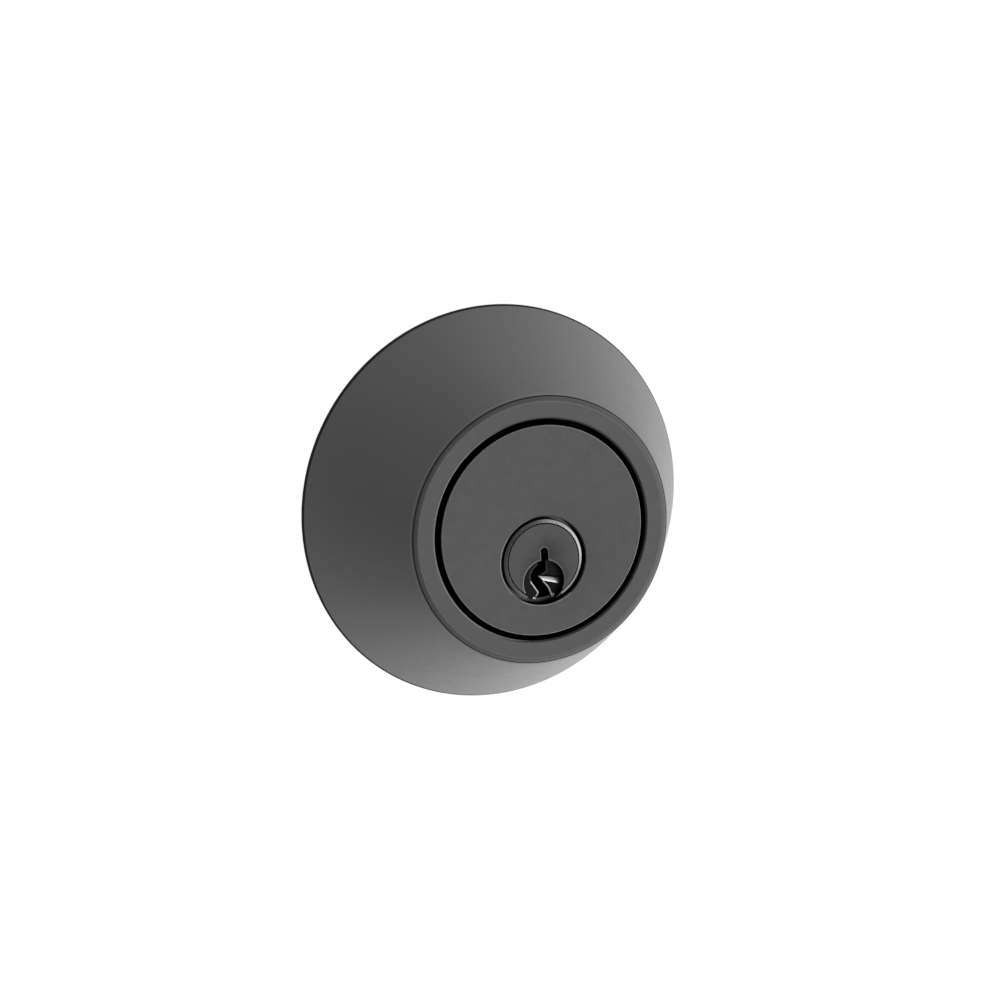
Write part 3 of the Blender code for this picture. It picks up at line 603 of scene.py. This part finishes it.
def plug():
    """Plug with a turned edge, warded keyway and the round key guide in its face."""
    head = rounded([(FRONT_Y, 0.0, 0.0), (FRONT_Y, RING_IN_R, 0.03), (FRONT_Y + 0.12, RING_LOW_R, 0.0),
                    (FRONT_Y + 0.06, RING_OUT_R, 0.04), (FRONT_Y + 0.28, PLUG_HEAD_R, 0.08),
                    (PLUG_HEAD_Y, PLUG_HEAD_R, 0.0), (PLUG_HEAD_Y, PLUG_R, 0.0)], 4, 0.01)
    # Behind the cylinder body come the clip's groove and the cap's seat
    tail = [(5.3, PLUG_R), (5.3, 5.0), (6.9, 5.0), (6.9, 5.6), (9.6, 5.6), (9.6, 0.0)]
    piece = turned("plug", "Y", HUB, head + tail, 192)
    keyway = [(x, z + HUB_Z) for x, z in KEYWAY]
    cutters = [guide_cutter(), extruded("keyway", "Y", keyway, FRONT_Y - 1.0, KEYWAY_END_Y + 0.1),
               mouth("mouth", keyway, FRONT_Y, 0.05, 0.13), mouth("floor_mouth", keyway, GUIDE_Y, 0.08, 0.2),
               guide_groove()]
    cutters += [turned("foot", "Y", (x, z), [(y - 0.3, 0.0), (y - 0.3, FOOT_R), (y + 0.25, 0.0)], 16)
                for x, z, y in FEET]
    cutters += [rod("pin_hole", "Z", (0.0, y), HUB_Z - 3.25, 3.0, PIN_HOLE_R, 32) for y in PIN_YS]
    cut(piece, *cutters)
    attach(piece, "key_plug", PLUG_PAINT, EDGE, GUIDE_PAINT, SHADOW, BARE_AND_SHADE, BURNISH_AND_HIGHLIGHT, SHADED_LINE, RIM, LINE)

    def on_foot(at):
        return any(from_axis(at, (x, z)) < FOOT_R - 0.05 and y - 0.5 < at.y < y + 0.3 for x, z, y in FEET)

    def choose(at, normal):
        radius, from_guide = from_axis(at, HUB), from_axis(at, GUIDE)
        if at.y < ON_FRONT_Y:
            return PLUG_PAINT
        if abs(normal.y) > 0.3 and on_foot(at):
            return LINE
        # The turned edge: its small groove painted dark as shade
        if radius > RING_IN_R - 0.01 and at.y < FRONT_Y + 0.3 and from_guide > GUIDE_R + 0.2:
            # The bevel in worn metal, dimmed towards the lower left as painted shade
            return EDGE if radius > RING_OUT_R - 0.01 else RIM
        if radius < RING_IN_R - 0.02 and at.y < FRONT_Y + 0.1 and normal.y < -0.2:
            return BURNISH_AND_HIGHLIGHT
        # The keyway's walls painted black as shadow, as deep as KEYWAY_END_Y
        if from_guide > GUIDE_R + 0.02:
            return SHADOW if radius < PLUG_R - 0.1 and at.y < KEYWAY_END_Y else PLUG_PAINT
        # Edge lines on the key guide's floor: bare metal low down, a darker copy as painted shade higher up
        if ON_FLOOR_Y < at.y < GUIDE_Y + 0.06 and normal.y < -0.2:
            return LINE if at.z < HUB_Z - 3.4 else SHADED_LINE
        # The groove's shallow slope in bare metal, dimmed towards +x as painted shade
        if ON_FLOOR_Y < at.y < GUIDE_Y + 0.25 and normal.y < -0.9:
            return BARE_AND_SHADE
        if GUIDE_Y - 0.5 < at.y < ON_FLOOR_Y and normal.y < -0.5:
            return GUIDE_PAINT
        # The walls inside the key guide and its groove are painted black as shadow
        return SHADOW if at.y < KEYWAY_END_Y else PLUG_PAINT

    paint_faces(piece, choose)


# ---------------------------------------------------------------- fittings

def refined(node, name, width):
    """The CAD shape of a machined or pressed piece, with its flat faces merged and its edges rounded."""
    source = frame["nodes"][node]
    bm = bmesh.new()
    bm.from_mesh(source.data)
    bmesh.ops.scale(bm, vec=(1 / MM, 1 / MM, 1 / MM), verts=bm.verts)
    bmesh.ops.remove_doubles(bm, verts=bm.verts, dist=0.002)
    bmesh.ops.dissolve_limit(bm, angle_limit=math.radians(1.0), verts=bm.verts, edges=bm.edges)
    attach(softened(new_piece(name, bm), width, 2, 34.0), node)


def cross(centre, reach, half):
    """Outline of a cross-head recess."""
    arms = ((reach, -half), (reach, half), (half, half), (half, reach), (-half, reach), (-half, half),
            (-reach, half), (-reach, -half), (-half, -half), (-half, -reach), (half, -reach), (half, -half))
    return [(centre[0] + a, centre[1] + b) for a, b in arms]


def recess(axis, centre, top, depth, reach, half):
    """Tapered cross-head recess, as a cutter. depth is signed along the axis."""
    return lofted("recess", axis, ((top - depth * 0.3, cross(centre, reach * 1.1, half * 1.1)),
                                   (top + depth, cross(centre, reach * 0.35, half * 0.5))))


def threaded(name, axis, centre, thread, pitch, depth, rest):
    """A screw: thread is (along, crest radius) points from the tip, rest the plain shank and head."""
    steps, rows_a_turn = 32, 8
    rows = [(along, radius, 0.0) for along, radius in thread[:1]]
    for (first, r0), (last, r1) in zip(thread, thread[1:]):
        count = max(2, round(rows_a_turn * (last - first) / pitch))
        for i in range(1, count + 1):
            rows.append((first + (last - first) * i / count, r0 + (r1 - r0) * i / count, depth))
    rows += [(along, radius, 0.0) for along, radius in rest]
    bm = bmesh.new()
    rings = []
    for along, radius, cut_in in rows:
        ring = []
        for i in range(steps):
            wave = (along / pitch - i / steps) % 1.0
            crest = max(0.0, 1.0 - abs(wave - 0.5) * 2.6)
            angle = 2 * math.pi * i / steps
            r = max(radius - cut_in * (1.0 - crest), radius * 0.3)
            a, b = centre[0] + r * math.cos(angle), centre[1] + r * math.sin(angle)
            ring.append(bm.verts.new(place(axis, along, a, b)))
        rings.append(ring)
    for first, second in zip(rings, rings[1:]):
        for i in range(steps):
            j = (i + 1) % steps
            bm.faces.new((first[i], first[j], second[j], second[i]))
    bm.faces.new(rings[0])
    bm.faces.new(rings[-1])
    return new_piece(name, bm)


def mounting_screws():
    """Two long machine screws that clamp the trims through the door, with domed cross-recess heads."""
    for i in (1, 2):
        node = f"mounting_screw_{i}"
        centre = (0.0, middle(node, 2))
        head = high(node, 1) - 2.6
        end = low(node, 1)
        thread = [(end, 1.6), (end + 0.8, 2.4), (end + 30.0, 2.4)]
        rest = [(end + 30.3, 2.25), (head, 2.25), (head, 4.1), (head + 0.15, 4.2), (head + 1.0, 4.1),
                (head + 1.7, 3.7), (head + 2.2, 3.0), (head + 2.5, 2.0), (head + 2.6, 1.0)]
        screw = threaded(f"long_screw_{i}", "Y", centre, thread, 0.9, 0.42, rest)
        attach(cut(screw, recess("Y", centre, head + 2.6, -1.8, 2.2, 0.45)), node)


def faceplate_screws():
    """Countersunk wood screws through the faceplate and the guide tube's flange into the door's edge."""
    for i in (1, 2):
        node = f"faceplate_screw_{i}"
        centre = (MID_Y, middle(node, 2))
        tip, top = low(node, 0), high(node, 0)
        thread = [(tip, 0.12), (tip + 3.5, 1.75), (tip + 15.5, 1.75)]
        rest = [(tip + 15.8, 1.4), (top - 2.1, 1.5), (top - 0.2, 3.7), (top - 0.05, 3.75), (top, 3.6)]
        screw = threaded(f"wood_screw_{i}", "X", centre, thread, 1.5, 0.55, rest)
        attach(cut(screw, recess("X", centre, top, -1.7, 2.1, 0.42)), node)


def springs():
    """Wound springs with a dead coil at each end. They shorten between the cover and their driver pins."""
    wire, radius, turns, per_turn, sides = 0.21, 1.12, 7, 28, 10  # wire is the wire's own radius
    for i in range(1, 6):
        node = f"driver_spring_{i}"
        y, bottom, top = middle(node, 1), low(node, 2), high(node, 2)
        bm = bmesh.new()
        rings = []
        for k in range(turns * per_turn + 1):
            turn = k / per_turn
            active = min(max((turn - 1.0) / (turns - 2.0), 0.0), 1.0)
            # The end coils all but touch: 6.1 is a wire radius at each end and twice the 2.05 between coils
            dead = 2.05 * wire * (min(turn, 1.0) + max(turn - turns + 1.0, 0.0))
            rise = bottom + wire + dead + active * (top - bottom - 6.1 * wire)
            angle = 2 * math.pi * turn
            out = Vector((math.cos(angle), math.sin(angle), 0.0))
            core = Vector((0.0, y, rise)) + out * radius
            ring = []
            for side in range(sides):
                round_wire = 2 * math.pi * side / sides
                offset = out * math.cos(round_wire) + Vector((0, 0, 1)) * math.sin(round_wire)
                ring.append(bm.verts.new(core + offset * wire))
            rings.append(ring)
        for first, second in zip(rings, rings[1:]):
            for side in range(sides):
                after = (side + 1) % sides
                bm.faces.new((first[side], first[after], second[after], second[side]))
        bm.faces.new(rings[0])
        bm.faces.new(rings[-1])
        coil = new_piece(f"coil_{i}", bm)
        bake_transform(coil, "lock_on_door", f"driver_pin_{i}_body",
                 start=(0, y * MM, top * MM), end=(0, y * MM, bottom * MM))
        dressed(coil, node, ())


def inside_rose():
    """Shallow dished cover with a soft shoulder, the thumbturn's bearing hole and a set-screw hole."""
    start, front = INNER_Y, INNER_FRONT_Y
    hollow, edge = start + 6.4, 29.4
    corners = [
        (start, ROSE_R, 0.3), (start + 2.0, ROSE_R, 0.8), (front, ROSE_R - 5.2, 2.2), (front, 0.0, 0.0),
        (hollow, 0.0, 0.0), (hollow, ROSE_R - 7.0, 1.2), (start + 1.2, edge, 0.2), (start, edge, 0.1),
    ]
    profile = rounded(corners, 10)
    first = profile.index((hollow, 0.0))
    piece = turned("inside_cover", "Y", ROSE, profile[first:] + profile[:first], 256)
    bearing = turned("bearing", "Y", HUB, [
        (start, 0.0), (start, 7.8), (front - 0.3, 7.8), (front + 0.3, 8.4), (front + 0.3, 0.0),
    ], 96)
    cut(piece, bearing, rod("set_hole", "Z", (0.0, start + 1.9), -60.0, ROSE_Z - 28.0, 1.4, 32))
    attach(piece, "inner_rose")


def thumbturn():
    """Oval turn that waists in the middle, on a round base whose spindle holds the tailpiece's end."""
    start, top = low("thumbturn", 1), high("thumbturn", 1)
    base = INNER_FRONT_Y + 1.1
    profile = rounded([
        (start, 0.0, 0.0), (start, 7.5, 0.4), (start + 2.3, 7.5, 0.1), (start + 2.3, 6.2, 0.0),
        (start + 4.3, 6.2, 0.0), (start + 4.3, 7.5, 0.1), (base, 7.5, 0.0), (base, 10.5, 0.3),
        (base + 2.2, 10.5, 0.9), (base + 4.0, 7.5, 1.5), (base + 4.0, 0.0, 0.0),
    ], 8)
    piece = turned("turn", "Y", HUB, profile, 160)
    end, half, foot, soft, steps = 11.9, 4.6, 1.5, 1.4, 32
    oval = arc((0.0, HUB_Z + end), half, 0, 180, 28) + arc((0.0, HUB_Z - end), half, 180, 360, 28)
    sections = []
    reach = top - base
    for i in range(steps + 1):
        y = base + foot + (reach - foot) * i / steps
        edge = max(0.0, soft - (top - y))
        inset = soft - math.sqrt(max(soft ** 2 - edge ** 2, 0.0))
        waist = 1.0 - 0.24 * math.sin(math.pi * (y - base) / reach)
        sections.append((y, [(x * waist, z) for x, z in grown(oval, -inset)]))
    joined(piece, lofted("lever", "Y", sections))
    cut(piece, extruded("socket", "Y", rectangle(1.2, 2.7, 0.3, HUB), start - 1.0, start + 6.7))
    attach(piece, "thumbturn")


def edge_fittings():
    """Faceplate with a rounded face and countersinks, and the drawn tube with its flange behind it."""
    width, length, corner, screws_z = 25.4, 57.2, 6.35, (-20.6, 20.6)
    back = low("faceplate", 0)
    face = rectangle(width / 2, length / 2, corner, BOLT_AXIS, 16)
    plate = extruded("face_plate", "X", face, back, EDGE_X)
    outline = flat_sided(BOLT_AXIS, 11.45, 7.55)
    sinks = []
    for z in screws_z:
        sinks.append(turned("sink", "X", (MID_Y, z), [
            (back - 2.0, 0.0), (back - 2.0, 2.4), (back + 0.1, 2.4), (EDGE_X, 4.1), (EDGE_X + 1.0, 4.1),
            (EDGE_X + 1.0, 0.0)], 64))
    cut(plate, extruded("opening", "X", outline, 50.0, 70.0), *sinks)
    attach(softened(plate, 0.3), "faceplate")
    flange = (back - 1.5, back - 0.3)
    tube = rod("guide_tube", "X", BOLT_AXIS, low("bolt_guide_tube", 0), flange[1] - 0.4, 12.45, 128)
    skirt = rectangle(width / 2 - 0.2, length / 2 - 0.2, corner - 0.2, BOLT_AXIS, 16)
    joined(tube, extruded("flange", "X", skirt, *flange))
    holes = [rod("hole", "X", (MID_Y, z), 50.0, 60.0, 2.9, 48) for z in screws_z]
    cut(tube, rod("bore", "X", BOLT_AXIS, 10.0, 70.0, 11.45, 128), *holes)
    attach(softened(tube, 0.2), "bolt_guide_tube")


def flat_sided(centre, radius, half):
    """A circle with its two sides cut flat, as (a, b) with the flats at a = -half and half."""
    angle = math.degrees(math.acos(half / radius))
    return arc(centre, radius, angle, 180 - angle, 40) + arc(centre, radius, 180 + angle, 360 - angle, 40)


def latch():
    """Round-topped bolt with eased edges, cut for the slide's tongue, the hard pin and the link pin."""
    back = low("bolt", 0)
    outline = flat_sided(BOLT_AXIS, 11.1, 7.2)
    piece = softened(extruded("throw_bolt", "X", outline, back, EDGE_X), 0.9, 6, 60.0)
    slot = block("slot", (back - 1.0, MID_Y - 2.3, -4.3), (back + 8.3, MID_Y + 2.3, 4.3))
    bore = rod("pin_bore", "X", BOLT_AXIS, back + 8.0, back + 33.0, 2.8, 48)
    cut(piece, slot, bore, rod("link_hole", "Y", (28.0, 0.0), MID_Y - 9.0, MID_Y + 9.0, 1.5, 32))
    attach(piece, "bolt")


def pressed_and_turned():
    """Small pieces: the CAD shape with eased edges."""
    for node, name, width in (
        ("cylinder_mounting_plate", "rear_plate", 0.3), ("inner_mounting_plate", "inside_plate", 0.2),
        ("bolt_slide", "slide", 0.2), ("bolt_crank", "crank", 0.15),
        ("case_half_outer", "case_outside", 0.15), ("case_half_inner", "case_inside", 0.15),
        ("tailpiece", "tail", 0.12), ("plug_cap", "cap", 0.15),
        ("plug_retaining_clip", "clip", 0.1), ("pin_chamber_cover", "cover", 0.12),
        ("thumbturn_retaining_ring", "retaining_ring", 0.1),
    ):
        refined(node, name, width)


# ---------------------------------------------------------------- stage, light and camera

# The door sheet's brightness in reflections: along a direction, times up its height, each as
# (start, end) in millimetres and (first, last)
DOOR_ACROSS = (-0.94, 0.0, 0.34)
DOOR_LIGHT = ((14, 66), (1.65, 1.22))
DOOR_TOP = ((10, 55), (0.92, 1.18))
DOOR_SHEET_Y = 0.25
DOOR_REACH = 700
DOOR_HOLE_R = 27.5

# Middle of the tent's dark part, and its brightness from the far side (0) to that middle (1)
TENT_DARK = (-0.41, -0.90, 0.135)
TENT = ((0.0, 1.8), (0.40, 1.85), (0.54, 1.36), (0.63, 0.68), (1.0, 0.2))

# Camera: degrees to the left, above and tipped, metres away, focal length, and its aim right of centre
CAMERA_TURN = (20.6, 14.93, 4.87)
CAMERA_DISTANCE = 1.5
CAMERA_LENS = 332.4
CAMERA_ASIDE = 1.93


def door_skin():
    """White sheet, seen from outside only, in the plane of the door's outside face up to its edge."""
    bm = bmesh.new()
    reach = DOOR_REACH
    corners = ((-reach, -reach), (EDGE_X, -reach), (EDGE_X, reach), (-reach, reach))
    outside = [bm.verts.new((x, DOOR_SHEET_Y, z)) for x, z in corners]
    ring = arc((0.0, 0.0), DOOR_HOLE_R, 0, 360, 64)[:-1]
    hole = [bm.verts.new((x, DOOR_SHEET_Y, z)) for x, z in ring]
    edges = [bm.edges.new((loop[i - 1], loop[i])) for loop in (outside, hole) for i in range(len(loop))]
    bmesh.ops.triangle_fill(bm, edges=edges, use_beauty=True)
    sheet = new_piece("door_skin", bm)
    for face in sheet.data.polygons:
        if face.normal.y > 0:
            face.flip()
    material, tree = empty_material("door_white")
    at = tree.nodes.new("ShaderNodeTexCoord").outputs["Object"]
    axes = set_inputs(tree.nodes.new("ShaderNodeSeparateXYZ"), {"Vector": at})
    shades = []
    for along, (reaches, ends) in (
        (share_along(tree, at, DOOR_ACROSS), DOOR_LIGHT), (axes.outputs["Z"], DOOR_TOP),
    ):
        shades.append(ranged(tree, along, reaches[0] * MM, reaches[1] * MM, *ends, "SMOOTHSTEP"))
    both = tree.nodes.new("ShaderNodeMath")
    both.operation = "MULTIPLY"
    set_inputs(both, {0: shades[0], 1: shades[1]})
    seen = tree.nodes.new("ShaderNodeLightPath").outputs["Is Camera Ray"]
    glow = set_inputs(tree.nodes.new("ShaderNodeEmission"), {
        "Strength": ranged(tree, seen, 0.0, 1.0, both.outputs["Value"], 1.0)})
    mix = set_inputs(tree.nodes.new("ShaderNodeMixShader"), {
        "Fac": tree.nodes.new("ShaderNodeNewGeometry").outputs["Backfacing"],
        1: glow.outputs["Emission"], 2: tree.nodes.new("ShaderNodeBsdfTransparent").outputs["BSDF"]})
    set_inputs(tree.nodes.new("ShaderNodeOutputMaterial"), {"Surface": mix.outputs["Shader"]})
    sheet.data.materials.append(material)
    sheet.visible_shadow = False


def empty_material(name):
    """A material with no nodes yet, and its node tree."""
    material = bpy.data.materials.new(name)
    material.use_nodes = True
    material.node_tree.nodes.clear()
    return material, material.node_tree


def floor():
    """Plain pale floor far below the lock. It gives no light, shadow or reflection."""
    reach, depth = 4000, -800
    bm = bmesh.new()
    for x, y in ((-reach, -reach), (reach, -reach), (reach, reach), (-reach, reach)):
        bm.verts.new((x, y, depth))
    bm.faces.new(bm.verts)
    ground = new_piece("floor", bm)
    material, tree = empty_material("pale_floor")
    glow = tree.nodes.new("ShaderNodeEmission")
    set_inputs(tree.nodes.new("ShaderNodeOutputMaterial"), {"Surface": glow.outputs["Emission"]})
    ground.data.materials.append(material)
    ground.visible_diffuse = ground.visible_glossy = ground.visible_shadow = False


def area_light(name, where, target, size, power):
    """A rectangular lamp that faces its target, in metres and watts."""
    light = bpy.data.lights.new(name, "AREA")
    light.shape = "RECTANGLE"
    light.size, light.size_y = size
    light.energy = power
    item = bpy.data.objects.new(name, light)
    item.location = where
    item.rotation_euler = (Vector(target) - Vector(where)).to_track_quat("-Z", "Y").to_euler()
    bpy.context.scene.collection.objects.link(item)


def lights():
    """A light tent, bright from the sides and behind and dark round the lens, and one soft box in front."""
    world = bpy.data.worlds.new("studio")
    world.use_nodes = True
    tree = world.node_tree
    direction = tree.nodes.new("ShaderNodeTexCoord").outputs["Generated"]
    towards_lens = share_along(tree, direction, TENT_DARK)
    tent = tree.nodes.new("ShaderNodeValToRGB")
    tent.color_ramp.interpolation = "EASE"
    stops = tent.color_ramp.elements
    stops.remove(stops[1])
    for i, (position, shade) in enumerate(TENT):
        stop = stops.new(position) if i else stops[0]
        stop.color = (*grey(shade), 1.0)
    set_inputs(tent, {"Fac": ranged(tree, towards_lens, -1.0, 1.0, 0.0, 1.0)})
    # The camera sees plain white. The mix node's colour inputs are 6 and 7, and its colour output 2
    shown = tree.nodes.new("ShaderNodeMix")
    shown.data_type = "RGBA"
    seen = tree.nodes.new("ShaderNodeLightPath").outputs["Is Camera Ray"]
    set_inputs(shown, {0: seen, 6: tent.outputs["Color"], 7: (1.0, 1.0, 1.0, 1.0)})
    set_inputs(tree.nodes["Background"], {"Color": shown.outputs[2]})
    bpy.context.scene.world = world
    area_light("front_box", where=(0.42, -1.1, -0.30), target=(0, 0, 0), size=(0.7, 0.7), power=5.2)


def camera():
    """Long lens at the left of the lock and above it, tipped a little."""
    side, height, tilt = (math.radians(angle) for angle in CAMERA_TURN)
    away = Vector((-math.sin(side) * math.cos(height), -math.cos(side) * math.cos(height), math.sin(height)))
    right = Vector((0, 0, 1)).cross(away).normalized()
    up = away.cross(right)
    tipped_right = right * math.cos(tilt) - up * math.sin(tilt)
    tipped_up = right * math.sin(tilt) + up * math.cos(tilt)
    data = bpy.data.cameras.new("camera")
    data.sensor_width = 36.0
    data.lens = CAMERA_LENS
    data.clip_end = 20.0
    item = bpy.data.objects.new("camera", data)
    aim = Vector((0.0, 0.0, ROSE_Z)) * MM + tipped_right * CAMERA_ASIDE * MM
    facing = Matrix((tipped_right, tipped_up, away)).transposed().to_4x4()
    item.matrix_world = Matrix.Translation(aim + away * CAMERA_DISTANCE) @ facing
    bpy.context.scene.collection.objects.link(item)
    bpy.context.scene.camera = item


carry_over()
outer_rose()
cylinder()
plug()
mounting_screws()
faceplate_screws()
springs()
inside_rose()
thumbturn()
edge_fittings()
latch()
pressed_and_turned()
door_skin()
floor()
lights()
camera()
bpy.context.scene.view_settings.view_transform = "Standard"
